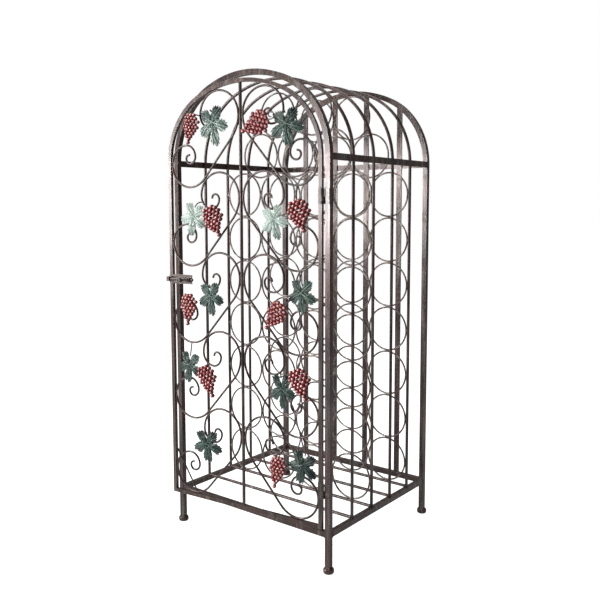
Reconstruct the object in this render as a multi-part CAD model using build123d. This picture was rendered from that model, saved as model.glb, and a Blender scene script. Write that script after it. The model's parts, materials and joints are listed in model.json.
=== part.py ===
from build123d import *
import os
from math import atan2, cos, degrees, hypot, radians, sin, sqrt

# Arched wrought-iron wine rack: a square-bar frame with a barrel-vaulted top, two racks of
# wire rings that carry the bottles, and a scrolled front door with vine leaves and grapes.
# Millimetres. X to the right, Y from the front to the back, Z up.
# The model is drawn with the footprint's centre on the floor at the origin and the door shut.
# At the end the door is turned to its rest angle and everything is moved so that the origin
# is the bottom centre of the whole object's box.

# ---- overall ----
frame_width = 377.0          # between post centres
frame_depth = 336.0          # between post centres
shoulder_height = 739.0      # floor to the springing of the arches
rail_height = 71.0           # floor to the centre of the bottom rails
shoulder_radius = 150.0      # arch centreline, the two tight outer bends
crown_radius = 237.0         # arch centreline, the flatter bend across the top

# ---- frame stock ----
bar = 10.0                   # square bar of posts, arches and bottom rails
flat_height = 12.0           # flat bar at the shoulders
flat_thickness = 3.0
slat_width = 12.0            # flat uprights of the back
slat_thickness = 3.0
slat_spacing = 83.5
slat_count = 4
foot_diameter = 20.0
foot_height = 10.0
foot_round = 3.5

# ---- hoops and bottle rings ----
rod = 6.0                    # round rod of hoops and floor rods
first_hoop_setback = 75.0    # from the front post's centre
hoop_spacing = 66.0
hoop_count = 4
rack_hoops = (2, 4)          # the hoops that carry rings
ring_wire = 3.5
ring_columns = 4
ring_lift = 4.0              # bottom rings above the rail's top face

# ---- door ----
door_bar = 7.0
door_inset = 16.0            # door centreline inside the frame's, all the way round
door_floor_gap = 1.5         # between the frame's front rail and the door's bottom rail
centre_rod = 6.0
scroll_wire = 4.0
scroll_rows = 5
loop_arch_gap = 0.3          # between the top scroll and the door arch
stay_wire = 3.0
stay_foot_across = 118.0     # from the centre rod, on the bottom rail
stay_rise = 76.0             # up the stile
rest_angle = 5.5             # the door stands this far open
inner_loop = 47.0            # scroll bends, each a quarter turn unless said
top_loop = 43.0
outer_loop = 25.0
curl_loop = 18.0
curl_eye = 9.5
curl_tip = 7.0
descent_bend = 60.0          # where the scroll leaves the centre rod
foot_bend = 50.0             # where it turns on to the rail
foot_loop = 44.0
foot_top_loop = 36.0
foot_inner_loop = 22.0
foot_curl = 13.0

# ---- leaves and grapes ----
leaf_thickness = 2.0
grape_thickness = 12.0
grape_corner = 3.6           # rounding of a bunch's four corners

# ---- hinges ----
hinge_height = 27.0
hinge_drop = 68.0            # upper hinge's centre below the shoulder
hinge_lift = 80.0            # lower hinge's centre above the rail's centre
knuckle_radius = 3.75
hinge_pin = 4.0              # diameter
hinge_clearance = 0.06       # radial, pin in the door's knuckle
hinge_joint_gap = 0.4        # between the two knuckles
plate_clearance = 0.2        # a plate's edge to the other leaf's knuckle
tab_bite = 1.0               # how far a tab runs into its knuckle
leaf_plate = 1.5
barrel_proud = 3.5           # barrel axis in front of the post's front face
pin_head_radius = 3.0
pin_head_height = 1.2

# ---- latch ----
bolt = 5.0                   # diameter
bolt_clearance = 0.1         # radial, bolt in its guides
bolt_travel = 16.0
bolt_length = 62.0
bolt_tip_setback = 1.5       # retracted tip inside the stile's outer face
guide_size = 9.0
guide_width = 6.0
latch_plate = 1.2
latch_plate_height = 18.0
latch_plate_length = 58.0
latch_row = 2.82             # in scroll rows above the lowest scroll's foot
knob_stem = 3.5              # diameter
knob_length = 17.0           # bolt's surface to the knob's front
knob_diameter = 8.0
knob_height = 7.0
knob_round = 2.5
knob_clearance = 2.0         # knob to the guide beside it, with the bolt drawn back
keeper_length = 7.0
keeper_clearance = 0.9       # radial, bolt in the keeper
keeper_wall = 0.8            # the least that is left round the keeper's bore

# ---- places worked out from the sizes ----
half_width = frame_width / 2
half_depth = frame_depth / 2
rail_top = rail_height + bar / 2
door_plane = -half_depth
hoop_inset = flat_thickness / 2    # hoop centreline inside the frame's
hoop_x = half_width - hoop_inset
rod_inner = hoop_x - rod / 2
hoop_places = [first_hoop_setback - half_depth + hoop_spacing * i for i in range(hoop_count)]
door_x = half_width - door_inset
door_bottom = rail_top + door_floor_gap
door_rail_top = door_bottom + door_bar
door_inner = door_x - door_bar / 2
crown_rise = crown_radius - sqrt((crown_radius - shoulder_radius) ** 2
                                 - (half_width - shoulder_radius) ** 2)
crown_z = shoulder_height + crown_rise - crown_radius   # centre of the crown's curve
shoulder_x = half_width - shoulder_radius               # centre of a shoulder's curve
hinge_x = (door_x + door_bar / 2 + half_width - bar / 2) / 2
hinge_y = door_plane - bar / 2 - barrel_proud
hinge_places = (rail_height + hinge_lift, shoulder_height - hinge_drop)
hinge_axis = Axis((hinge_x, hinge_y, 0), (0, 0, 1))
wire_front = door_plane - scroll_wire / 2


def box(x0, x1, y0, y1, z0, z1):
    """A block between two corners, given in any order."""
    middle = ((x0 + x1) / 2, (y0 + y1) / 2, (z0 + z1) / 2)
    return Pos(*middle) * Box(abs(x1 - x0), abs(y1 - y0), abs(z1 - z0))


def round_bar(start, end, diameter):
    """A straight round rod between two points."""
    way = Vector(*end) - Vector(*start)
    return extrude(Plane(start, z_dir=way) * Circle(diameter / 2), amount=way.length)


def flattened_ball(diameter, height, edge_round):
    """A short cylinder with both rims rounded, upright about its middle."""
    disc = Cylinder(diameter / 2, height)
    limit = 0.45 * min(height, diameter)
    return fillet(disc.edges().filter_by(GeomType.CIRCLE), min(edge_round, limit))


def tangent_run(start, heading, steps, y):
    """Edges in an upright plane: (length,) goes straight, (radius, degrees) turns left."""
    x, z = start
    edges = []
    for step in steps:
        if len(step) == 1:
            end = (x + step[0] * cos(radians(heading)), z + step[0] * sin(radians(heading)))
            edges.append(Line((x, y, z), (end[0], y, end[1])))
        else:
            radius, turn = step
            side = 90 if turn > 0 else -90
            cx = x + radius * cos(radians(heading + side))
            cz = z + radius * sin(radians(heading + side))
            marks = []
            for share in (0.5, 1.0):
                angle = radians(heading - side + turn * share)
                marks.append((cx + radius * cos(angle), y, cz + radius * sin(angle)))
            edges.append(ThreePointArc((x, y, z), *marks))
            heading += turn
            end = (marks[1][0], marks[1][2])
        x, z = end
    return Wire(edges)


def arch_steps(offset):
    """The three bends of an arch set inside the frame's by offset, from right to left."""
    flank = degrees(atan2(shoulder_height - crown_z, shoulder_x))
    return [(shoulder_radius - offset, flank),
            (crown_radius - offset, 180 - 2 * flank),
            (shoulder_radius - offset, flank)]


def arch(offset, y, section):
    """A bar bent over the top, springing from the shoulder on both sides."""
    path = tangent_run((half_width - offset, shoulder_height), 90, arch_steps(offset), y)
    start = Plane((half_width - offset, y, shoulder_height), x_dir=(1, 0, 0), z_dir=(0, 0, 1))
    return sweep(start * section, path=path)


def arch_space(offset, bottom, y0, y1):
    """Everything inside an arch of that offset, down to a height, between two planes."""
    side = half_width - offset
    steps = [(shoulder_height - bottom,)] + arch_steps(offset) + [(shoulder_height - bottom,)]
    outline = tangent_run((side, bottom), 90, steps, y0)
    closed = Wire([*outline.edges(), Line((-side, y0, bottom), (side, y0, bottom)).edge()])
    return extrude(Face(closed), amount=y1 - y0, dir=(0, 1, 0))


def frame_parts():
    """Posts, arches, bottom rails, shoulder bars, back slats and feet."""
    made = {}
    for depth_name, y in (("front", -half_depth), ("rear", half_depth)):
        for side_name, x in (("left", -half_width), ("right", half_width)):
            made[f"{depth_name}_post_{side_name}"] = box(
                x - bar / 2, x + bar / 2, y - bar / 2, y + bar / 2, foot_height, shoulder_height)
            made[f"foot_{depth_name}_{side_name}"] = Pos(x, y, foot_height / 2) * flattened_ball(
                foot_diameter, foot_height, foot_round)
        made[f"{depth_name}_arch"] = arch(0, y, Rectangle(bar, bar))
        made[f"bottom_rail_{depth_name}"] = box(
            bar / 2 - half_width, half_width - bar / 2, y - bar / 2, y + bar / 2,
            rail_height - bar / 2, rail_top)
    for side_name, side in (("left", -1), ("right", 1)):
        x = side * half_width
        made[f"bottom_rail_{side_name}"] = box(
            x - bar / 2, x + bar / 2, bar / 2 - half_depth, half_depth - bar / 2,
            rail_height - bar / 2, rail_top)
        inner = side * (hoop_x + rod / 2)
        made[f"shoulder_bar_{side_name}"] = box(
            inner, inner + side * flat_thickness, bar / 2 - half_depth, half_depth - bar / 2,
            shoulder_height - flat_height / 2, shoulder_height + flat_height / 2)
    made["shoulder_bar_rear"] = box(
        bar / 2 - half_width, half_width - bar / 2, half_depth, half_depth + flat_thickness,
        shoulder_height - flat_height / 2, shoulder_height + flat_height / 2) & arch_space(
            bar / 2, rail_top, half_depth, half_depth + flat_thickness)
    inside = arch_space(bar / 2, rail_top, half_depth - slat_thickness, half_depth)
    for i in range(slat_count):
        x = (i - (slat_count - 1) / 2) * slat_spacing
        slat = box(x - slat_width / 2, x + slat_width / 2, half_depth - slat_thickness,
                   half_depth, rail_top, shoulder_height + crown_rise)
        made[f"rear_slat_{i + 1}"] = slat & inside
    return made


def hoop_parts():
    """Round-rod hoops from side rail to side rail, each with a rod across the floor."""
    made = {}
    for i, y in enumerate(hoop_places):
        legs = (shoulder_height - rail_top,)
        path = tangent_run((hoop_x, rail_top), 90, [legs] + arch_steps(hoop_inset) + [legs], y)
        start = Plane((hoop_x, y, rail_top), z_dir=(0, 0, 1))
        made[f"hoop_{i + 1}"] = sweep(start * Circle(rod / 2), path=path)
        reach = half_width - bar / 2
        level = rail_top + ring_lift - rod / 2
        made[f"floor_rod_{i + 1}"] = round_bar((-reach, y, level), (reach, y, level), rod)
    return made


def ring_places():
    """Centres of the rings in one rack: straight columns, then nested rows under the arch."""
    pitch = 2 * rod_inner / ring_columns
    bottom = rail_top + ring_lift
    rows = int((shoulder_height - bottom) / pitch)
    places = []
    for row in range(rows):
        for column in range(ring_columns):
            across = (column - (ring_columns - 1) / 2) * pitch
            places.append((across, bottom + (row + 0.5) * pitch))
    level = bottom + (rows - 0.5) * pitch
    for count in range(ring_columns - 1, 0, -1):
        level += pitch * sqrt(3) / 2
        if not ring_fits((count - 1) / 2 * pitch, level, pitch / 2):
            break
        places += [((i - (count - 1) / 2) * pitch, level) for i in range(count)]
    return places, pitch


def ring_fits(x, z, radius):
    """Whether a ring stays inside the hoop's inner face."""
    inner_offset = hoop_inset + rod / 2
    beyond_flank = (z - crown_z) * shoulder_x < x * (shoulder_height - crown_z)
    if beyond_flank:
        away = hypot(x - shoulder_x, z - shoulder_height)
        return away + radius <= shoulder_radius - inner_offset
    return hypot(x, z - crown_z) + radius <= crown_radius - inner_offset


def ring_racks():
    """Two walls of welded wire rings, in the planes of the hoops that carry them."""
    places, pitch = ring_places()
    made = {}
    for name, hoop in zip(("front_rack_rings", "rear_rack_rings"), rack_hoops):
        y = hoop_places[hoop - 1]
        ring = Rot(90, 0, 0) * Torus(pitch / 2 - ring_wire / 2, ring_wire / 2)
        made[name] = [Pos(x, y, z) * ring for x, z in places]
    return made


def scroll_geometry():
    """Foot-to-side height of a scroll, and the pitch at which each one touches the next.

    The diagonal is straight between two bends. Its slope and length follow from where the
    inner side and the foot have to be. The height is found by halving: the top loop of the
    lower scroll has to lie against the diagonal of the scroll above it."""
    inner_side = (centre_rod + scroll_wire) / 2
    outer_side = door_inner - scroll_wire / 2
    foot_x = outer_side - foot_loop
    across = foot_x - inner_side - descent_bend
    loop_x = inner_side + inner_loop
    reach = crown_radius - door_inset - door_bar / 2 - top_loop - scroll_wire / 2 - loop_arch_gap
    top_z = crown_z + sqrt(reach ** 2 - loop_x ** 2) + top_loop
    foot_z = door_rail_top + scroll_wire / 2

    def layout(height):
        down = height - foot_bend
        offset = descent_bend - foot_bend
        run = sqrt(across ** 2 + down ** 2 - offset ** 2)
        slope = atan2(down, across) - atan2(offset, run)
        pitch = (top_z - inner_loop - height - foot_z) / (scroll_rows - 1)
        knee_x = inner_side + descent_bend * (1 - sin(slope))
        knee_z = height - descent_bend * cos(slope) + pitch
        loop_z = height + inner_loop - top_loop
        gap = ((knee_x - loop_x) * sin(slope) + (knee_z - loop_z) * cos(slope)
               - top_loop - scroll_wire)
        return gap, pitch, run, degrees(slope)

    low, high = foot_bend + descent_bend, 2 * (foot_bend + descent_bend)
    for _ in range(60):
        middle = (low + high) / 2
        if layout(middle)[0] > 0:
            low = middle
        else:
            high = middle
    return (low, *layout(low)[1:], inner_side, foot_z)


def scroll_lines(side, row, geometry):
    """Centrelines of one C-scroll: a curled loop by the centre rod and one by the stile."""
    height, pitch, run, slope, inner_side, foot_z = geometry
    level = foot_z + row * pitch + height
    down = [(descent_bend, 90 - slope), (run,), (foot_bend, slope), (foot_loop, 90),
            (foot_top_loop, 90), (foot_inner_loop, 90), (foot_curl, 90), (curl_eye, 90),
            (curl_tip, 100)]
    up = [(inner_loop, -90), (top_loop, -90), (outer_loop, -90), (curl_loop, -90),
          (curl_eye, -90), (curl_tip, -100)]
    lines = [tangent_run((inner_side, level), heading, steps, door_plane)
             for heading, steps in ((-90, down), (90, up))]
    return lines if side > 0 else [mirror(line, about=Plane.YZ) for line in lines]


def scroll(side, row, geometry):
    """One C-scroll of round wire."""
    height, pitch, _, _, inner_side, foot_z = geometry
    start = Plane((side * inner_side, door_plane, foot_z + row * pitch + height),
                  z_dir=(0, 0, 1))
    wires = [sweep(start * Circle(scroll_wire / 2), path=line)
             for line in scroll_lines(side, row, geometry)]
    return wires[0] + wires[1]


def vine_leaf(width, height):
    """A five-lobed leaf cut from sheet, stalk upwards, drawn about its middle."""
    half = [(0.04, 0.34), (0.20, 0.50), (0.33, 0.38), (0.27, 0.20), (0.50, 0.22), (0.50, 0.02),
            (0.36, -0.08), (0.24, -0.06), (0.32, -0.26), (0.20, -0.38), (0.0, -0.50)]
    points = half + [(-x, z) for x, z in reversed(half[:-1])]
    outline = Polyline(*[(x * width, 0, z * height) for x, z in points], close=True)
    return extrude(Face(Wire(outline.edges())), amount=leaf_thickness, dir=(0, -1, 0))


def grape_cluster(width, height):
    """A bunch as a tapered block with rounded corners, drawn about its middle."""
    half = [(0.38, 0.50), (0.50, 0.16), (0.30, -0.22), (0.10, -0.50)]
    points = half + [(-x, z) for x, z in reversed(half)]
    outline = Polyline(*[(x * width, 0, z * height) for x, z in points], close=True)
    block = extrude(Face(Wire(outline.edges())), amount=grape_thickness, dir=(0, -1, 0))
    return fillet(block.edges().filter_by(Axis.Y), grape_corner)


# Each ornament: scroll rows up, share of the way from centre rod to stile, tilt, width, height.
leaves = {
    "left": [(4.73, 0.36, 10, 62, 70), (3.58, 0.69, -12, 58, 60), (2.58, 0.43, 5, 56, 62),
             (1.66, 0.78, -8, 56, 60), (0.65, 0.51, 4, 66, 62)],
    "right": [(4.66, 0.63, 8, 66, 64), (3.52, 0.49, 14, 54, 60), (2.70, 0.81, 0, 54, 60),
              (1.52, 0.56, 6, 50, 66), (0.63, 0.80, -14, 58, 60)],
}
grapes = {
    "left": [(4.72, 0.67, -8, 36, 54), (3.55, 0.30, 28, 46, 58), (2.44, 0.73, 0, 38, 58),
             (1.52, 0.42, 24, 42, 60)],
    "right": [(4.69, 0.23, -66, 44, 58), (3.63, 0.84, 20, 46, 56), (2.46, 0.49, -35, 40, 56),
              (1.65, 0.85, 24, 44, 56), (0.48, 0.52, -8, 34, 58)],
}


def hung(piece, lines):
    """The ornament, moved across to the nearest wire if it would hang clear of them all."""
    level = Pos(0, scroll_wire / 2, 0) * piece
    nearest = min(lines, key=level.distance_to)
    gap, own, other = level.distance_to_with_closest_points(nearest)
    if gap == 0:
        return piece
    return Pos(*((other - own) * (1 + scroll_wire / 2 / gap))) * piece


def ornaments(side, places, maker, geometry):
    """Leaves or grapes lying against the front of the scrolls on one half of the door."""
    _, pitch, _, _, _, foot_z = geometry
    lines = [line for row in range(scroll_rows) for line in scroll_lines(side, row, geometry)]
    made = []
    for row, share, tilt, width, height in places:
        x = side * share * (door_inner - scroll_wire / 2)
        turned = Rot(0, -tilt, 0) * maker(width, height)
        made.append(hung(Pos(x, wire_front, foot_z + row * pitch) * turned, lines))
    return made


def door_parts(geometry):
    """The arched door leaf with its scrollwork, shut."""
    made = {}
    for name, x in (("left", -door_x), ("right", door_x)):
        made[f"door_stile_{name}"] = box(
            x - door_bar / 2, x + door_bar / 2, door_plane - door_bar / 2,
            door_plane + door_bar / 2, door_bottom, shoulder_height)
    made["door_arch"] = arch(door_inset, door_plane, Rectangle(door_bar, door_bar))
    made["door_bottom_rail"] = box(
        -door_inner, door_inner, door_plane - door_bar / 2, door_plane + door_bar / 2,
        door_bottom, door_rail_top)
    inside = arch_space(door_inset + door_bar / 2, door_rail_top, door_plane - bar,
                        door_plane + bar)
    top = shoulder_height + crown_rise
    made["door_centre_rod"] = round_bar(
        (0, door_plane, door_bottom), (0, door_plane, top), centre_rod) & inside
    stay_y = door_plane + (scroll_wire + stay_wire) / 2
    slope = (stay_rise + scroll_wire) / (door_inner - stay_foot_across)
    start = (-stay_foot_across + bar, stay_y, door_rail_top - bar * slope)
    end = (-door_inner - bar, stay_y, door_rail_top + (door_inner + bar - stay_foot_across) * slope)
    made["door_corner_stay"] = round_bar(start, end, stay_wire) & inside
    for name, side in (("left", -1), ("right", 1)):
        for row in range(scroll_rows):
            made[f"scroll_{name}_{row + 1}"] = scroll(side, row, geometry)
        made[f"vine_leaves_{name}"] = ornaments(side, leaves[name], vine_leaf, geometry)
        made[f"grape_clusters_{name}"] = ornaments(side, grapes[name], grape_cluster, geometry)
    return made


def hinge_leaf(post_side, level):
    """One leaf of a butt hinge: a plate, the tab to the barrel, and its knuckle."""
    half = hinge_height / 2
    if post_side:
        face = door_plane - bar / 2
        near, far = half_width - bar / 2, half_width + bar / 2
        low, high = level - half, level - hinge_joint_gap / 2
        bore = hinge_pin / 2
    else:
        face = door_plane - door_bar / 2
        near, far = door_x + door_bar / 2, door_x - door_bar / 2
        low, high = level + hinge_joint_gap / 2, level + half
        bore = hinge_pin / 2 + hinge_clearance
    front = face - leaf_plate
    clear = sqrt(max(0, (knuckle_radius + plate_clearance) ** 2 - (front - hinge_y) ** 2))
    near = max(near, hinge_x + clear) if post_side else min(near, hinge_x - clear)
    plate = box(near, far, front, face, level - half, level + half)
    tab_front = min(front, hinge_y + knuckle_radius - tab_bite)
    tab = box(near, hinge_x, tab_front, face, low, high)
    middle = (hinge_x, hinge_y, (low + high) / 2)
    knuckle = Pos(*middle) * Cylinder(knuckle_radius, high - low)
    hole = Pos(*middle) * Cylinder(bore, high - low)
    return plate + tab + knuckle - hole


def hinge_parts():
    """Two butt hinges. The pins are fast in the post's knuckles."""
    made = {"hinge_leaves_frame": [], "hinge_leaves_door": [], "hinge_pins": []}
    for level in hinge_places:
        made["hinge_leaves_frame"].append(hinge_leaf(True, level))
        made["hinge_leaves_door"].append(hinge_leaf(False, level))
        bottom = level - hinge_height / 2
        top = level + hinge_height / 2 + hinge_joint_gap / 2
        shank = round_bar((hinge_x, hinge_y, bottom), (hinge_x, hinge_y, top), hinge_pin)
        head = Pos(hinge_x, hinge_y, top + pin_head_height / 2) * Cylinder(
            pin_head_radius, pin_head_height)
        made["hinge_pins"].append(shank + head)
    return made


def latch_parts(geometry):
    """A sliding bolt on the door's left stile and its keeper on the post."""
    level = geometry[-1] + latch_row * geometry[1]
    back = door_plane - door_bar / 2
    outer = -door_x - door_bar / 2
    plate_front = back - latch_plate
    keeper_bore = bolt / 2 + keeper_clearance
    post_front = door_plane - bar / 2
    axis_y = min(plate_front - guide_size / 2, post_front - keeper_bore - keeper_wall)
    guide_front = 2 * axis_y - plate_front
    plate = box(outer, outer + latch_plate_length, back, plate_front,
                level - latch_plate_height / 2, level + latch_plate_height / 2)
    body = plate
    for x in (outer, outer + latch_plate_length - guide_width):
        body += box(x, x + guide_width, plate_front, guide_front,
                    level - guide_size / 2, level + guide_size / 2)
    body -= round_bar((outer - 1, axis_y, level), (outer + latch_plate_length + 1, axis_y, level),
                      bolt + 2 * bolt_clearance)
    tip = outer + bolt_tip_setback
    sliding = round_bar((tip, axis_y, level), (tip + bolt_length, axis_y, level), bolt)
    knob_x = outer + latch_plate_length - guide_width - knob_diameter / 2 - knob_clearance
    knob_y = axis_y - bolt / 2 - knob_length + knob_height / 2
    stem = round_bar((knob_x, axis_y, level), (knob_x, knob_y, level), knob_stem)
    knob = flattened_ball(knob_diameter, knob_height, knob_round)
    sliding += stem + Pos(knob_x, knob_y, level) * Rot(90, 0, 0) * knob
    keeper_outer = post_front - axis_y
    keeper_x = -half_width
    ends = ((keeper_x - keeper_length / 2, axis_y, level),
            (keeper_x + keeper_length / 2, axis_y, level))
    keeper = round_bar(*ends, 2 * keeper_outer) - round_bar(*ends, 2 * keeper_bore)
    return {"latch_body": body, "latch_bolt": sliding}, {"latch_keeper": keeper}


def main():
    """Build every node, open the door to its rest angle and write the files."""
    geometry = scroll_geometry()
    hinges = hinge_parts()
    latch, keeper = latch_parts(geometry)
    nodes = {**frame_parts(), **hoop_parts(), **ring_racks(), **keeper,
             "hinge_leaves_frame": hinges["hinge_leaves_frame"],
             "hinge_pins": hinges["hinge_pins"]}
    on_door = {**door_parts(geometry), **latch, "hinge_leaves_door": hinges["hinge_leaves_door"]}
    for name, shape in on_door.items():
        pieces = shape if isinstance(shape, list) else [shape]
        nodes[name] = [piece.rotate(hinge_axis, rest_angle) for piece in pieces]

    solids = {name: [solid for piece in (shape if isinstance(shape, list) else [shape])
                     for solid in piece.solids()] for name, shape in nodes.items()}
    whole = Compound([solid for group in solids.values() for solid in group]).bounding_box()
    shift = Pos(-(whole.min.X + whole.max.X) / 2, -(whole.min.Y + whole.max.Y) / 2, 0)
    os.makedirs("parts", exist_ok=True)
    for name, group in solids.items():
        placed = [shift * solid for solid in group]
        export_step(placed[0] if len(placed) == 1 else Compound(placed), f"parts/{name}.step")
    print("nodes", len(solids), "solids", sum(len(group) for group in solids.values()))
    print("shift", shift.position, "box", whole.size)


main()
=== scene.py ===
import json
import random
from math import atan2, cos, degrees, hypot, pi, radians, sin

import bmesh
import bpy
from mathutils import Matrix, Vector
from mathutils.bvhtree import BVHTree


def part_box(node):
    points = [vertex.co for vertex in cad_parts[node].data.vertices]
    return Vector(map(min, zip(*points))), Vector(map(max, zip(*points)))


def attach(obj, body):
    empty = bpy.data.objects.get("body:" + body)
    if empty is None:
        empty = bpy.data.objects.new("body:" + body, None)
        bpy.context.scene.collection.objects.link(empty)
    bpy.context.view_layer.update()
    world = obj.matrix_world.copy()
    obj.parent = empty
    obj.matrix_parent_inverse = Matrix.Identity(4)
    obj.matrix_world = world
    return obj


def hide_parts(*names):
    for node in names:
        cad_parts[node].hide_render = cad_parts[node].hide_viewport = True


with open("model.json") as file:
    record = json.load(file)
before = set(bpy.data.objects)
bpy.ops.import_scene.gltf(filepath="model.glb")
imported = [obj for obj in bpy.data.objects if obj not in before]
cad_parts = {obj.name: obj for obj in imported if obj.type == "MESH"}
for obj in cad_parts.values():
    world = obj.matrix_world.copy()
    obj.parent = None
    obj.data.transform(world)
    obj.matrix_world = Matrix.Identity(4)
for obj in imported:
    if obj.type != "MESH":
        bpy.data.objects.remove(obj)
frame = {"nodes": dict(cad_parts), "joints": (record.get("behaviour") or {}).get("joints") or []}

bpy.context.view_layer.update()
nodes = frame["nodes"]
joints = {joint["name"]: joint for joint in frame["joints"]}

# The door's own directions at rest. The bolt slides along the door, towards the latch side.
door_across = -Vector(joints["bolt_slide"]["axis"])
door_outward = door_across.cross(Vector((0, 0, 1)))
door_turn = Matrix((door_across, -door_outward, Vector((0, 0, 1)))).transposed()

MM = 0.001


# ---------------------------------------------------------------- nodes and materials

def add(tree, kind, **values):
    """A shader node with its sockets filled: a value is set, another node's socket is linked."""
    made = tree.nodes.new(kind)
    for name, value in values.items():
        if name.startswith("set_"):
            setattr(made, name[4:], value)
            continue
        socket = made.inputs[int(name[2:])] if name.startswith("in") and name[2:].isdigit() \
            else made.inputs[name.replace("_", " ")]
        if isinstance(value, bpy.types.NodeSocket):
            tree.links.new(value, socket)
        else:
            socket.default_value = value
    return made


def maths(tree, operation, first, second=0.0):
    """The result of one arithmetic step."""
    return add(tree, "ShaderNodeMath", set_operation=operation, in0=first, in1=second).outputs[0]


def blended(tree, amount, first, second):
    """A colour between two colours."""
    return add(tree, "ShaderNodeMix", set_data_type="RGBA", in0=amount, in6=first,
               in7=second).outputs[2]


def spread(tree, value, low, high, to_low=0.0, to_high=1.0):
    """A value carried from one range to another, and held at its ends."""
    return add(tree, "ShaderNodeMapRange", Value=value, From_Min=low, From_Max=high,
               To_Min=to_low, To_Max=to_high).outputs[0]


def group(name, inputs, outputs):
    """A shader node group with named sockets, and the nodes that stand for them inside it."""
    tree = bpy.data.node_groups.new(name, "ShaderNodeTree")
    for label, kind, value in inputs:
        socket = tree.interface.new_socket(label, in_out="INPUT", socket_type=kind)
        socket.default_value = value
    for label, kind in outputs:
        tree.interface.new_socket(label, in_out="OUTPUT", socket_type=kind)
    return tree, tree.nodes.new("NodeGroupInput").outputs, tree.nodes.new("NodeGroupOutput").inputs


def build_edge_wear_and_highlight():
    """Wear along sharp edges from hands and cloth, broken up by noise; it also serves as a painted
    highlight where rounded edges would catch the light.
    """
    tree, given, out = group("edge wear and highlight", [
        ("Width", "NodeSocketFloat", 0.8 * MM),
        ("Gain", "NodeSocketFloat", 4.0),
        ("Break Up", "NodeSocketFloat", 90.0),
    ], [("Mask", "NodeSocketFloat")])
    place = add(tree, "ShaderNodeTexCoord").outputs["Object"]
    rounded = add(tree, "ShaderNodeBevel", set_samples=4, Radius=given["Width"])
    plain = add(tree, "ShaderNodeNewGeometry").outputs["Normal"]
    dot = add(tree, "ShaderNodeVectorMath", set_operation="DOT_PRODUCT",
              in0=rounded.outputs[0], in1=plain).outputs["Value"]
    edge = maths(tree, "MULTIPLY", maths(tree, "SUBTRACT", 1.0, dot), given["Gain"])
    noise = add(tree, "ShaderNodeTexNoise", Vector=place, Scale=given["Break Up"],
                Detail=4.0, Roughness=0.65).outputs[0]
    # This mask is wear along the edges and a painted highlight on them.
    worn_and_lit = maths(tree, "MULTIPLY", edge, spread(tree, noise, 0.3, 0.6))
    tree.links.new(maths(tree, "MINIMUM", worn_and_lit, 1.0), out["Mask"])
    return tree


def build_brushed():
    """Long soft streaks left by a nearly dry brush, and a finer mottle across them."""
    tree, given, out = group("dry brush", [
        ("Scale", "NodeSocketVector", (1.0, 1.0, 1.0)),
        ("Low", "NodeSocketFloat", 0.45),
        ("High", "NodeSocketFloat", 0.7),
    ], [("Mask", "NodeSocketFloat"), ("Mottle", "NodeSocketFloat")])
    place = add(tree, "ShaderNodeTexCoord").outputs["Object"]
    long = add(tree, "ShaderNodeMapping", Vector=place, Scale=given["Scale"]).outputs[0]
    streak = add(tree, "ShaderNodeTexNoise", Vector=long, Scale=1.0, Detail=5.0,
                 Roughness=0.6, Distortion=0.3).outputs[0]
    mottle = add(tree, "ShaderNodeTexNoise", Vector=place, Scale=420.0, Detail=3.0,
                 Roughness=0.6).outputs[0]
    mixed = maths(tree, "ADD", maths(tree, "MULTIPLY", streak, 0.92),
                  maths(tree, "MULTIPLY", mottle, 0.08))
    tree.links.new(spread(tree, mixed, given["Low"], given["High"]), out["Mask"])
    tree.links.new(mottle, out["Mottle"])
    return tree


def build_skin():
    """The fine unevenness of sprayed paint, as a height."""
    tree, given, out = group("paint skin", [
        ("Fine", "NodeSocketFloat", 1400.0),
        ("Broad", "NodeSocketFloat", 260.0),
    ], [("Height", "NodeSocketFloat")])
    place = add(tree, "ShaderNodeTexCoord").outputs["Object"]
    fine = add(tree, "ShaderNodeTexNoise", Vector=place, Scale=given["Fine"], Detail=2.0).outputs[0]
    broad = add(tree, "ShaderNodeTexNoise", Vector=place, Scale=given["Broad"],
                Detail=2.0).outputs[0]
    tree.links.new(maths(tree, "ADD", maths(tree, "MULTIPLY", fine, 0.35),
                         maths(tree, "MULTIPLY", broad, 0.65)), out["Height"])
    return tree


def placed(tree, shared, **values):
    """A shared group, put in a material with that material's own values."""
    return add(tree, "ShaderNodeGroup", set_node_tree=shared, **values)


def new_material(name):
    """An empty material with its shader."""
    made = bpy.data.materials.new(name)
    made.use_nodes = True
    return made, made.node_tree, made.node_tree.nodes["Principled BSDF"]


def join(tree, socket, target):
    """Links one socket to another."""
    tree.links.new(socket, target)


edge_wear_and_highlight = build_edge_wear_and_highlight()
dry_brush = build_brushed()
paint_skin = build_skin()


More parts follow.
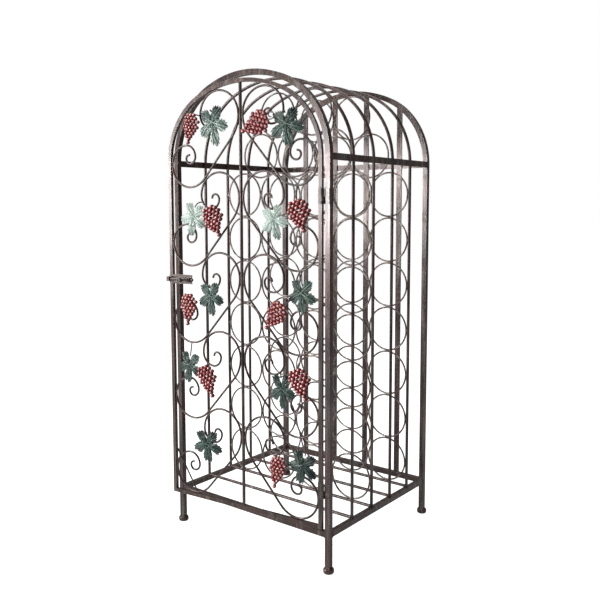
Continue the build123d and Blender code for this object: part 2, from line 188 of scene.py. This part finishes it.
def rubbed_bronze(name, dark, brown, rubbed_and_highlight_colour, streak_scale, low, high, gain):
    """Dark brown paint with light silver-tan metal brushed over it and bared by wear at edges, where
    the light metal also serves as a painted highlight.
    """
    made, tree, shader = new_material(name)
    brush = placed(tree, dry_brush, Scale=streak_scale, Low=low, High=high)
    edges = placed(tree, edge_wear_and_highlight, Gain=gain).outputs["Mask"]
    # The light metal shows in the brush streaks and along edges, where it is partly wear and partly a
    # painted highlight.
    mask = maths(tree, "MAXIMUM", maths(tree, "MULTIPLY", brush.outputs["Mask"], 0.6),
                 maths(tree, "MULTIPLY", edges, 0.8))
    place = add(tree, "ShaderNodeTexCoord").outputs["Object"]
    cloud = add(tree, "ShaderNodeTexNoise", Vector=place, Scale=14.0, Detail=3.0).outputs[0]
    paint = blended(tree, spread(tree, cloud, 0.35, 0.65), dark, brown)
    join(tree, blended(tree, mask, paint, rubbed_and_highlight_colour), shader.inputs["Base Color"])
    join(tree, spread(tree, mask, 0.0, 1.0, 0.3, 0.85), shader.inputs["Metallic"])
    join(tree, spread(tree, brush.outputs["Mottle"], 0.3, 0.7, 0.21, 0.36),
         shader.inputs["Roughness"])
    height = placed(tree, paint_skin).outputs["Height"]
    bump = add(tree, "ShaderNodeBump", Strength=0.12, Distance=0.2 * MM, Height=height)
    join(tree, bump.outputs[0], shader.inputs["Normal"])
    shader.inputs["Coat Weight"].default_value = 0.3
    shader.inputs["Coat Roughness"].default_value = 0.18
    return made


def verdigris():
    """Green patina over bronze: dark in the hollows, pale mint on the raised veins and rims, with
    painted shade on one side of some leaves and a painted highlight along the edges.
    """
    made, tree, shader = new_material("verdigris leaf")
    relief = add(tree, "ShaderNodeAttribute", set_attribute_name="relief").outputs["Fac"]
    tone = add(tree, "ShaderNodeAttribute", set_attribute_name="tone").outputs["Fac"]
    place = add(tree, "ShaderNodeTexCoord").outputs["Object"]
    cloud = add(tree, "ShaderNodeTexNoise", Vector=place, Scale=70.0, Detail=4.0,
                Roughness=0.6).outputs[0]
    speck = add(tree, "ShaderNodeTexNoise", Vector=place, Scale=600.0, Detail=3.0).outputs[0]
    deep = blended(tree, spread(tree, cloud, 0.35, 0.65), (0.008, 0.011, 0.010, 1),
                   (0.028, 0.062, 0.053, 1))
    # The tone attribute holds each leaf's own paleness and, on one side, painted shade.
    lift = maths(tree, "ADD", maths(tree, "MULTIPLY", cloud, 0.5), maths(
        tree, "MULTIPLY", tone, 0.45))
    green = blended(tree, spread(tree, maths(tree, "ADD", relief, lift), 0.45, 1.0), deep,
                    (0.11, 0.18, 0.15, 1))
    raised = maths(tree, "ADD", maths(tree, "MULTIPLY", relief, 0.7), maths(
        tree, "MULTIPLY", speck, 0.35))
    pale = spread(tree, maths(tree, "ADD", raised, maths(tree, "MULTIPLY", tone, 0.45)), 0.6, 1.0)
    # Paler edges: partly wear, partly a painted highlight.
    edges = placed(tree, edge_wear_and_highlight, Width=0.5 * MM, Gain=2.5).outputs["Mask"]
    patina_and_highlight = maths(tree, "MAXIMUM", pale, maths(tree, "MULTIPLY", edges, 0.4))
    join(tree, blended(tree, patina_and_highlight, green, (0.58, 0.69, 0.63, 1)), shader.inputs["Base Color"])
    join(tree, spread(tree, cloud, 0.3, 0.7, 0.05, 0.35), shader.inputs["Metallic"])
    join(tree, spread(tree, speck, 0.3, 0.7, 0.28, 0.5), shader.inputs["Roughness"])
    height = placed(tree, paint_skin, Fine=2200.0, Broad=500.0).outputs["Height"]
    bump = add(tree, "ShaderNodeBump", Strength=0.35, Distance=0.3 * MM, Height=height)
    join(tree, bump.outputs[0], shader.inputs["Normal"])
    shader.inputs["Coat Weight"].default_value = 0.35
    shader.inputs["Coat Roughness"].default_value = 0.18
    return made


def red_with_painted_light():
    """Red berries with a pale pink painted highlight on the side towards the light, and painted shade
    in dark wine red on the sides turned away from it.
    """
    made, tree, shader = new_material("pearly red berries")
    front = add(tree, "ShaderNodeAttribute", set_attribute_name="front").outputs["Fac"]
    place = add(tree, "ShaderNodeTexCoord").outputs["Object"]
    cloud = add(tree, "ShaderNodeTexNoise", Vector=place, Scale=110.0, Detail=3.0,
                Roughness=0.6).outputs[0]
    speck = add(tree, "ShaderNodeTexNoise", Vector=place, Scale=700.0, Detail=2.0).outputs[0]
    painted_light_and_tone = maths(tree, "ADD", front, maths(tree, "MULTIPLY", maths(
        tree, "SUBTRACT", cloud, 0.5), 0.5))
    # Painted shade: dark wine red where a berry turns away from the light, broken up by noise.
    red = blended(tree, spread(tree, painted_light_and_tone, 0.15, 0.75), (0.030, 0.002, 0.004, 1),
                  (0.34, 0.018, 0.022, 1))
    # Painted highlight: a pale pink spot where a berry faces the light.
    pearl = maths(tree, "MULTIPLY", spread(tree, painted_light_and_tone, 0.80, 1.0), spread(
        tree, speck, 0.25, 0.6, 0.6, 1.0))
    join(tree, blended(tree, pearl, red, (1.0, 0.70, 0.64, 1)), shader.inputs["Base Color"])
    join(tree, spread(tree, pearl, 0.0, 1.0, 0.1, 0.35), shader.inputs["Metallic"])
    join(tree, spread(tree, speck, 0.3, 0.7, 0.22, 0.34), shader.inputs["Roughness"])
    height = placed(tree, paint_skin, Fine=1800.0, Broad=420.0).outputs["Height"]
    bump = add(tree, "ShaderNodeBump", Strength=0.2, Distance=0.2 * MM, Height=height)
    join(tree, bump.outputs[0], shader.inputs["Normal"])
    shader.inputs["Coat Weight"].default_value = 0.6
    shader.inputs["Coat Roughness"].default_value = 0.12
    return made


finishes = {
    "antique_bronze": rubbed_bronze("antique bronze paint", (0.022, 0.011, 0.010, 1),
                                    (0.075, 0.037, 0.030, 1), (0.40, 0.375, 0.34, 1),
                                    (110.0, 110.0, 9.0), 0.50, 0.86, 4.0),
    "ring_wire": rubbed_bronze("ring wire paint", (0.045, 0.026, 0.022, 1),
                               (0.10, 0.065, 0.055, 1), (0.48, 0.43, 0.38, 1),
                               (60.0, 60.0, 60.0), 0.42, 0.62, 2.0),
    "fittings": rubbed_bronze("fittings paint", (0.030, 0.020, 0.017, 1),
                              (0.075, 0.046, 0.038, 1), (0.42, 0.38, 0.34, 1),
                              (120.0, 120.0, 120.0), 0.52, 0.80, 4.0),
    "verdigris_leaf": verdigris(),
    "red_berry": red_with_painted_light(),
}


# ---------------------------------------------------------------- mesh helpers

smooth_angle = radians(50)         # edges blunter than this are shaded smooth


def deselect():
    """Back to object mode with nothing selected."""
    if bpy.context.mode != "OBJECT":
        bpy.ops.object.mode_set(mode="OBJECT")
    bpy.ops.object.select_all(action="DESELECT")


def make_active(piece):
    """Selects one piece alone."""
    deselect()
    piece.select_set(True)
    bpy.context.view_layer.objects.active = piece


def named(name):
    """The active object, named, with its mesh."""
    piece = bpy.context.active_object
    piece.name = name
    piece.data.name = name
    return piece


def settle(piece, matrix):
    """Moves a piece's mesh by a matrix and leaves its object at the origin."""
    piece.data.transform(matrix @ piece.matrix_world)
    piece.matrix_world = Matrix.Identity(4)
    piece.data.update()
    return piece


def applied(piece, kind, **settings):
    """Adds a modifier and applies it."""
    make_active(piece)
    modifier = piece.modifiers.new(kind.title(), kind)
    for name, value in settings.items():
        setattr(modifier, name, value)
    bpy.ops.object.modifier_apply(modifier=modifier.name)


def dress(piece, material_slot, body, *replaced):
    """Gives a piece its finish and its body, and hides the CAD parts that it stands for."""
    piece.data.materials.clear()
    piece.data.materials.append(finishes[material_slot])
    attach(piece, body)
    if replaced:
        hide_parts(*replaced)
    return piece


def copy_of(piece, name):
    """A copy with its own mesh."""
    made = piece.copy()
    made.data = piece.data.copy()
    made.name = name
    made.data.name = name
    bpy.context.scene.collection.objects.link(made)
    return made


def solids_of(node):
    """The separate solids of a CAD node, as lists of points, from the top down."""
    mesh = bmesh.new()
    mesh.from_mesh(nodes[node].data)
    bmesh.ops.remove_doubles(mesh, verts=mesh.verts, dist=0.001 * MM)
    left = set(mesh.verts)
    groups = []
    while left:
        pending = [left.pop()]
        found = []
        while pending:
            vertex = pending.pop()
            found.append(vertex.co.copy())
            for edge in vertex.link_edges:
                other = edge.other_vert(vertex)
                if other in left:
                    left.remove(other)
                    pending.append(other)
        groups.append(found)
    mesh.free()
    return sorted(groups, key=lambda points: -middle_of(points).z)


def middle_of(points):
    """The middle of the points' box, measured along the door's own directions."""
    turned = [door_turn.transposed() @ point for point in points]
    low = Vector([min(point[axis] for point in turned) for axis in range(3)])
    high = Vector([max(point[axis] for point in turned) for axis in range(3)])
    return door_turn @ ((low + high) / 2)


def size_of(points, tilt):
    """The points' width and height along axes in the door's plane, turned by a tilt."""
    turn = door_turn @ Matrix.Rotation(radians(-tilt), 3, "Y")
    along = [point.dot(turn.col[0]) for point in points]
    up = [point.dot(turn.col[2]) for point in points]
    return max(along) - min(along), max(up) - min(up)


def centred(piece):
    """Moves a flat master's mesh so that its outline is centred, and gives its width and height."""
    across = [vertex.co.x for vertex in piece.data.vertices]
    up = [vertex.co.z for vertex in piece.data.vertices]
    middle = Vector(((min(across) + max(across)) / 2, 0, (min(up) + max(up)) / 2))
    piece.data.transform(Matrix.Translation(-middle))
    return max(across) - min(across), max(up) - min(up)


def fitted(master, name, points, tilt, swell, depth, flip=1):
    """A copy of an ornament's master, turned and sized to stand where its CAD solid does."""
    piece = copy_of(master, name)
    master_width, master_height = master["outline"]
    width, height = size_of(points, tilt)
    turn = Matrix.Rotation(radians(-tilt), 4, "Y")
    size = Matrix.Diagonal((flip * swell * width / master_width, depth,
                            swell * height / master_height, 1))
    settle(piece, Matrix.Translation(middle_of(points)) @ door_turn.to_4x4() @ turn @ size)
    if flip < 0:
        piece.data.flip_normals()
    return piece


# ---------------------------------------------------------------- vine leaves

spokes = 144                       # points round a leaf's outline
leaf_rings = 16                    # and from its middle to its rim
lobes = ((-90, 34.0), (-26, 31.0), (-154, 31.0), (40, 27.0), (-220, 27.0))  # direction, length
sinus = 11.5                       # the outline's radius between two lobes
stalk_sinus = 5.0                  # and beside the stalk
stalk_gap = 104                    # degrees from a lobe to the next, across the stalk
side_gap = 45                      # half-gaps up to this lie between two lobes
lobe_fall = 2.1                    # how late a lobe narrows, and how bluntly it ends
lobe_blunt = 0.8
teeth = (0.93, 1.07, 1.0)          # the outline's radius at each step along a tooth
lobe_tip = 1.04
leaf_sheet = 0.9
leaf_dome = 3.0
ruffle = 1.7                       # how far the rim waves in and out
rib_height = 1.3
side_vein_height = 0.9
side_veins = (0.16, 0.36, 0.56, 0.74)   # where they leave the rib, as shares of the lobe
vein_slope = 0.8                   # along the rib for each step aside
vein_half_width = 1.5
vein_start = 1.2                   # where a side vein leaves its rib, aside
groove_place = 2.2                 # a groove runs on each side of a rib
groove_half_width = 1.2
groove_depth = 0.75
waves = 9                          # round the rim


def lobe_at(angle):
    """The lobe that a direction falls in: its number, the offset from its axis and its half-gap."""
    best = None
    for number, (axis, _) in enumerate(lobes):
        offset = (angle - axis + 180) % 360 - 180
        if best is None or abs(offset) < abs(best[1]):
            best = (number, offset)
    number, offset = best
    axes = sorted((lobe[0] - lobes[number][0] + 540) % 360 - 180 for lobe in lobes)
    if offset >= 0:
        gap = min([axis for axis in axes if axis > 1] + [stalk_gap]) / 2
    else:
        gap = min([-axis for axis in axes if axis < -1] + [stalk_gap]) / 2
    return number, offset, gap


def rim_radius(angle, step):
    """How far the outline is from the leaf's middle, with a saw of teeth that point to the tips."""
    number, offset, gap = lobe_at(angle)
    length = lobes[number][1]
    share = min(abs(offset) / gap, 1.0)
    low = stalk_sinus if gap > side_gap else sinus
    body = low + (length - low) * max(0.0, 1 - share ** lobe_fall) ** lobe_blunt
    if abs(offset) <= step / 2:
        return body * lobe_tip
    return body * teeth[int(round(abs(offset) / step)) % len(teeth)]


def leaf_relief(angle, share, reach):
    """Height of the pressed sheet in front of its rim, and how proud it stands of its surroundings."""
    number, offset, gap = lobe_at(angle)
    radius = share * reach
    aside = radius * sin(radians(abs(offset)))
    along = radius * cos(radians(offset))
    length = lobes[number][1]
    crown = (1 - abs(offset) / gap) * sin(pi * min(1.0, share * 1.1))
    wave = ruffle * share ** 3 * sin(radians(angle * waves + number * 70))
    dome = leaf_dome * (1 - share ** 2) + ruffle * crown + wave
    rib = max(0.0, 1 - aside / vein_half_width) * (1 - 0.5 * along / length)
    groove = max(0.0, 1 - abs(aside - groove_place) / groove_half_width)
    vein = 0.0
    if aside > vein_start:
        vein = max(max(0.0, 1 - abs(along - start * length - aside * vein_slope)
                       / vein_half_width) for start in side_veins)
    height = dome + rib_height * rib + side_vein_height * vein - groove_depth * groove
    return height, rib + 0.75 * vein - 0.6 * groove


def pressed_leaf():
    """One leaf, pressed from sheet: five toothed lobes, a raised rib along each, and side veins.

    It lies across Y with its front towards -Y, its stalk end up and its middle at the origin."""
    deselect()
    bpy.ops.mesh.primitive_circle_add(vertices=spokes, radius=1.0, fill_type="NOTHING",
                                      rotation=(radians(90), 0, 0))
    piece = named("leaf master")
    bpy.ops.object.transform_apply(location=False, rotation=True, scale=False)
    bpy.ops.object.mode_set(mode="EDIT")
    bpy.ops.mesh.select_all(action="SELECT")
    for ring in range(leaf_rings - 1, 0, -1):
        shrink = ring / (ring + 1)
        bpy.ops.mesh.extrude_edges_move()
        bpy.ops.transform.resize(value=(shrink, shrink, shrink), center_override=(0, 0, 0))
    bpy.ops.mesh.extrude_edges_move()
    bpy.ops.mesh.merge(type="CENTER")
    bpy.ops.object.mode_set(mode="OBJECT")
    step = 360 / spokes
    relief = piece.data.attributes.new("relief", "FLOAT", "POINT")
    for vertex in piece.data.vertices:
        share = hypot(vertex.co.x, vertex.co.z)
        angle = degrees(atan2(vertex.co.z, vertex.co.x))
        reach = rim_radius(angle, step)
        height, proud = leaf_relief(angle, share, reach)
        vertex.co.x *= reach * MM
        vertex.co.z *= reach * MM
        vertex.co.y = -height * MM
        relief.data[vertex.index].value = max(0.0, min(1.0, 0.45 + 0.5 * proud))
    bpy.ops.object.mode_set(mode="EDIT")
    bpy.ops.mesh.select_all(action="SELECT")
    bpy.ops.mesh.normals_make_consistent(inside=False)
    bpy.ops.object.mode_set(mode="OBJECT")
    if piece.data.polygons[0].normal.y > 0:
        piece.data.flip_normals()
    applied(piece, "SOLIDIFY", thickness=leaf_sheet * MM, offset=-1.0, use_even_offset=True)
    make_active(piece)
    bpy.ops.object.shade_smooth_by_angle(angle=smooth_angle)
    piece["outline"] = centred(piece)
    return piece


# Each leaf from the top down: its tilt, how pale the patina is, and the side darkened with painted
# shade, where the leaf lies in shadow.
leaf_looks = {
    "left": ((12, 0.35, 80), (-12, 1.1, -60), (6, 0.0, 0), (-8, -0.2, 180), (4, -0.35, 90)),
    "right": ((8, -0.1, 40), (14, 1.1, -90), (0, 0.1, 180), (6, -0.2, 90), (-14, -0.5, 0)),
}
painted_shade_depth = 0.9                    # how much darker the painted shade makes it there
painted_shade_reach = 30 * MM               # from the leaf's middle to where that is reached
leaf_swell = 1.06                  # a pressed leaf is a little larger than its CAD plate
leaf_depths = (0.85, 1.25)         # some are pressed deeper than others


def leaves_of(side):
    """The five leaves of one half of the door, each where its CAD solid stands."""
    node = f"vine_leaves_{side}"
    looks = zip(solids_of(node), leaf_looks[side])
    for number, (points, (tilt, tone, dark)) in enumerate(looks, 1):
        piece = copy_of(leaf_master, "toned leaf")
        toned = piece.data.attributes.new("tone", "FLOAT", "POINT")
        # Painted shade: the leaf grows darker towards one side, where it lies in shadow.
        shaded = Vector((cos(radians(dark)), 0, sin(radians(dark))))
        for vertex in piece.data.vertices:
            leaning = max(0.0, vertex.co.dot(shaded) / painted_shade_reach)
            toned.data[vertex.index].value = tone - painted_shade_depth * leaning ** 1.5
        leaf = fitted(piece, f"vine_leaf_{side}_{number}", points, tilt, leaf_swell,
                      random.uniform(*leaf_depths))
        bpy.data.objects.remove(piece)
        dress(leaf, "verdigris_leaf", "door", node)


# ---------------------------------------------------------------- grape clusters

berry_rows = (3, 4, 5, 4, 5, 4, 3, 2, 1, 1)
berry_pitch = 7.5
berry_row = 6.3
berry_radius = 4.1
berry_stray = 0.7                  # how far a berry sits off its place in the rows
bunch_fullness = 5.0               # how much further forward the middle of the bunch is
bunch_half_width = 19.0
berry_sizes = (0.92, 1.06)
painted_light_side = Vector((-0.25, -1.0, 0.35)).normalized()   # the side that gets the painted highlight; the far side gets painted shade
bunch_swell = 1.08                 # a bunch is a little larger than its CAD block
bunch_depth = 1.1


def berry_bunch():
    """One cast bunch: nested rows of berries, fullest along its middle.

    Its front is towards -Y, its stalk end up and its middle at the origin."""
    deselect()
    half_height = (len(berry_rows) - 1) / 2 * berry_row
    places = []
    for row, count in enumerate(berry_rows):
        z = half_height - row * berry_row
        for column in range(count):
            x = (column - (count - 1) / 2) * berry_pitch
            fullness = 1 - (x / bunch_half_width) ** 2
            stray = [random.uniform(-berry_stray, berry_stray) for _ in range(3)]
            places.append((x + stray[0], stray[1] - bunch_fullness * fullness, z + stray[2]))
    bpy.ops.mesh.primitive_ico_sphere_add(subdivisions=2, radius=berry_radius * MM, location=(0, 0, 0))
    piece = named("bunch master")
    bpy.ops.object.mode_set(mode="EDIT")
    bpy.ops.mesh.delete(type="VERT")
    for x, y, z in places:
        size = berry_radius * random.uniform(*berry_sizes) * MM
        bpy.ops.mesh.primitive_ico_sphere_add(
            subdivisions=2, radius=size, location=(x * MM, y * MM, z * MM),
            rotation=[random.uniform(0, pi) for _ in range(3)])
    bpy.ops.object.mode_set(mode="OBJECT")
    berry_vertices = len(piece.data.vertices) // len(places)
    # How far each point of a berry faces the light side; this drives the berries' painted highlight and
    # painted shade.
    front = piece.data.attributes.new("front", "FLOAT", "POINT")
    for number, (x, y, z) in enumerate(places):
        centre = Vector((x, y, z)) * MM
        for index in range(number * berry_vertices, (number + 1) * berry_vertices):
            away = (piece.data.vertices[index].co - centre).normalized()
            front.data[index].value = max(0.0, away.dot(painted_light_side))
    make_active(piece)
    bpy.ops.object.shade_smooth()
    piece["outline"] = centred(piece)
    return piece


# Each bunch from the top down: its tilt.
cluster_tilts = {"left": (-8, 28, 0, 24), "right": (-66, 20, -35, 24, -8)}


def clusters_of(side):
    """The bunches of one half of the door, each where its CAD solid stands."""
    node = f"grape_clusters_{side}"
    for number, (points, tilt) in enumerate(zip(solids_of(node), cluster_tilts[side]), 1):
        flip = -1 if number % 2 else 1
        bunch = fitted(bunch_master, f"grape_cluster_{side}_{number}", points, tilt, bunch_swell,
                       bunch_depth, flip)
        dress(bunch, "red_berry", "door", node)


# ---------------------------------------------------------------- stalks, tendrils and welds

stalk_wire = 2.4 * MM
stalk_overlap = 3 * MM             # how far a stalk runs down into its ornament
stalk_lift = 0.5 * MM
stalk_bow = 0.25                   # how much a stalk bows, as a share of its length
tendril_wire = 2.0 * MM
tendril_radius = 8 * MM
tendril_turn = 400                 # degrees
tendril_steps = 16
tendril_lift = 2 * MM
tendril_shrink = 0.55              # how far the curl closes in
weld_pitch = 1.6 * MM
bead_sizes = (0.85, 1.1)
scroll_bead = 1.9 * MM
frame_bead = 1.1 * MM
ring_bead = 2.3 * MM
ring_columns = 4
touch_margin = 0.02                # as a share of the ring spacing
edge_margin = 1 * MM


def beads(name, places, radius, material_slot, body):
    """Small flattened blobs of weld metal, one at each place, as one piece."""
    deselect()
    bpy.ops.mesh.primitive_ico_sphere_add(subdivisions=2, radius=radius, location=(0, 0, 0))
    piece = named(name)
    bpy.ops.object.mode_set(mode="EDIT")
    bpy.ops.mesh.delete(type="VERT")
    for place in places:
        bpy.ops.mesh.primitive_ico_sphere_add(
            subdivisions=2, radius=radius * random.uniform(*bead_sizes), location=place,
            rotation=[random.uniform(0, pi) for _ in range(3)])
    bpy.ops.object.mode_set(mode="OBJECT")
    make_active(piece)
    bpy.ops.object.shade_smooth()
    settle(piece, Matrix.Identity(4))
    return dress(piece, material_slot, body)


def wire_piece(name, routes, radius):
    """Round wires along smooth routes, as one mesh."""
    deselect()
    bpy.ops.curve.primitive_nurbs_path_add()
    piece = named(name)
    shape = piece.data
    shape.splines.clear()
    for route in routes:
        spline = shape.splines.new("NURBS")
        spline.points.add(len(route) - 1)
        for point, place in zip(spline.points, route):
            point.co = (*place, 1.0)
        spline.order_u = 3
        spline.use_endpoint_u = True
        spline.resolution_u = 6
    shape.bevel_depth = radius
    shape.bevel_resolution = 3
    shape.use_fill_caps = True
    bpy.ops.object.convert(target="MESH")
    piece = bpy.context.active_object
    bpy.ops.object.shade_smooth_by_angle(angle=smooth_angle)
    return settle(piece, Matrix.Identity(4))


def scroll_surface(side):
    """The wires of one half of the door, ready to be asked for their nearest point."""
    points = []
    faces = []
    for name, piece in nodes.items():
        if name.startswith(f"scroll_{side}_") or name == "door_centre_rod":
            start = len(points)
            points += [vertex.co.copy() for vertex in piece.data.vertices]
            faces += [[start + index for index in face.vertices] for face in piece.data.polygons]
    return BVHTree.FromPolygons(points, faces)


def stalks_of(side):
    """A short stalk from the top of each leaf and bunch to the nearest wire of the scrollwork."""
    surface = scroll_surface(side)
    looks = [(f"vine_leaves_{side}", [look[0] for look in leaf_looks[side]]),
             (f"grape_clusters_{side}", cluster_tilts[side])]
    routes = []
    for node, tilts in looks:
        for points, tilt in zip(solids_of(node), tilts):
            turn = door_turn @ Matrix.Rotation(radians(-tilt), 3, "Y")
            up = turn.col[2]
            half = size_of(points, tilt)[1] / 2
            start = middle_of(points) + up * (half - stalk_overlap) + door_outward * stalk_lift
            end = surface.find_nearest(start)[0]
            bow = (start + end) / 2 + up * (end - start).length * stalk_bow
            routes.append([start - up * stalk_overlap, start, bow, end])
    stalks = wire_piece(f"ornament_stalks_{side}", routes, stalk_wire / 2)
    return dress(stalks, "antique_bronze", "door")


def tendril(name, side, number, start_turn, way):
    """A curled tendril of thin wire that springs from the top of one bunch."""
    node = f"grape_clusters_{side}"
    points = solids_of(node)[number - 1]
    tilt = cluster_tilts[side][number - 1]
    turn = door_turn @ Matrix.Rotation(radians(-tilt), 3, "Y")
    root = middle_of(points) + turn.col[2] * size_of(points, tilt)[1] / 2
    centre = root + turn @ Vector((0, 0, tendril_radius))
    route = [root - turn.col[2] * tendril_radius]
    for step in range(tendril_steps):
        angle = radians(start_turn + way * step * tendril_turn / (tendril_steps - 1))
        radius = tendril_radius * (1 - tendril_shrink * step / (tendril_steps - 1))
        route.append(centre + door_turn @ Vector((cos(angle) * radius, -tendril_lift,
                                                  sin(angle) * radius)))
    return dress(wire_piece(name, [route], tendril_wire / 2), "antique_bronze", "door")


def scroll_welds():
    """A bead where each scroll is welded to the centre rod and to the stile."""
    places = []
    for name, piece in nodes.items():
        if name.startswith("scroll_"):
            along = sorted(piece.data.vertices, key=lambda vertex: vertex.co.dot(door_across))
            places += [along[0].co.copy(), along[-1].co.copy()]
    return beads("scroll_welds", places, scroll_bead, "antique_bronze", "door")


def frame_welds():
    """Short runs of weld where the bottom rails meet the posts."""
    places = []
    for name in ("bottom_rail_front", "bottom_rail_rear"):
        low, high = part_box(name)
        for x in (low.x, high.x):
            for y in (low.y, high.y):
                places += weld_run(Vector((x, y, low.z)), Vector((x, y, high.z)))
    for name in ("bottom_rail_left", "bottom_rail_right"):
        low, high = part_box(name)
        for y in (low.y, high.y):
            for x in (low.x, high.x):
                places += weld_run(Vector((x, y, low.z)), Vector((x, y, high.z)))
    return beads("frame_welds", places, frame_bead, "antique_bronze", "frame")


def weld_run(start, end):
    """Places for a run of overlapping beads between two points."""
    count = max(2, round((end - start).length / weld_pitch))
    return [start.lerp(end, step / count) for step in range(count + 1)]


def ring_welds(node, name):
    """A bead wherever two rings of a wall touch, and where a ring touches the hoop or the floor rod."""
    rings = [middle_of(points) for points in solids_of(node)]
    low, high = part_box(node)
    pitch = (high.x - low.x) / ring_columns
    places = []
    for number, first in enumerate(rings):
        for second in rings[number + 1:]:
            if abs((first - second).length - pitch) < touch_margin * pitch:
                places.append((first + second) / 2)
        if first.x - pitch / 2 < low.x + edge_margin:
            places.append(first - Vector((pitch / 2, 0, 0)))
        if first.x + pitch / 2 > high.x - edge_margin:
            places.append(first + Vector((pitch / 2, 0, 0)))
        if first.z - pitch / 2 < low.z + edge_margin:
            places.append(first - Vector((0, 0, pitch / 2)))
    return beads(name, places, ring_bead, "ring_wire", "frame")


random.seed(7)
leaf_master = pressed_leaf()
bunch_master = berry_bunch()
for side in ("left", "right"):
    leaves_of(side)
    clusters_of(side)
    stalks_of(side)
for master in (leaf_master, bunch_master):
    bpy.data.objects.remove(master)
tendril("grape_tendril", "right", 1, -110, 1)
scroll_welds()
frame_welds()
ring_welds("front_rack_rings", "front_ring_welds")
ring_welds("rear_rack_rings", "rear_ring_welds")


# ---------------------------------------------------------------- the frame's own pieces

for name, piece in nodes.items():
    for material_slot in piece.material_slots:
        material_slot.material = finishes[material_slot.material.name.split(".")[0]]


# ---------------------------------------------------------------- stage, light and camera

def studio_floor():
    """A pale floor that runs out to the horizon."""
    deselect()
    bpy.ops.mesh.primitive_plane_add(size=60, location=(0, 0, 0))
    floor = named("studio_floor")
    made, tree, shader = new_material("pale floor")
    shader.inputs["Base Color"].default_value = (0.8, 0.8, 0.8, 1)
    shader.inputs["Roughness"].default_value = 0.9
    shader.inputs["Emission Color"].default_value = (1, 1, 1, 1)
    seen = add(tree, "ShaderNodeLightPath").outputs["Is Camera Ray"]
    join(tree, maths(tree, "MULTIPLY", seen, 0.85), shader.inputs["Emission Strength"])
    floor.data.materials.append(made)


def softbox(name, azimuth, elevation, distance, size, power, aim=Vector((0, 0, 0.5))):
    """A square area light on a sphere round the rack, facing it."""
    light = bpy.data.lights.new(name, "AREA")
    light.shape = "RECTANGLE"
    light.size, light.size_y = size
    light.energy = power
    lamp = bpy.data.objects.new(name, light)
    bpy.context.scene.collection.objects.link(lamp)
    a, e = radians(azimuth), radians(elevation)
    back = Vector((sin(a) * cos(e), -cos(a) * cos(e), sin(e)))
    lamp.location = aim + back * distance
    lamp.rotation_euler = (-back).to_track_quat("-Z", "Y").to_euler()
    return lamp


studio_floor()
softbox("key", -31, 2, 2.4, (0.9, 0.5), 34, Vector((0, 0, 0.64)))
softbox("high key", -60, 40, 2.6, (1.0, 1.0), 24)
softbox("overhead", 0, 88, 2.6, (1.6, 1.6), 34)

world = bpy.data.worlds.new("studio")
bpy.context.scene.world = world
world.use_nodes = True
sky = world.node_tree.nodes["Background"]
seen = add(world.node_tree, "ShaderNodeLightPath").outputs["Is Camera Ray"]
join(world.node_tree, spread(world.node_tree, seen, 0.0, 1.0, 0.22, 1.0), sky.inputs["Strength"])
sky.inputs["Color"].default_value = (1, 1, 1, 1)

camera = bpy.data.objects.new("camera", bpy.data.cameras.new("camera"))
bpy.context.scene.collection.objects.link(camera)
camera.location = (0.949, -1.1752, 0.6515)
camera.rotation_euler = (radians(90 - 5.34), 0, radians(37.29))
camera.data.lens = 44.77
camera.data.sensor_width = 36
camera.data.shift_x = -0.0292
camera.data.shift_y = -0.0378
bpy.context.scene.camera = camera
bpy.context.scene.view_settings.view_transform = "Standard"

bpy.context.view_layer.update()
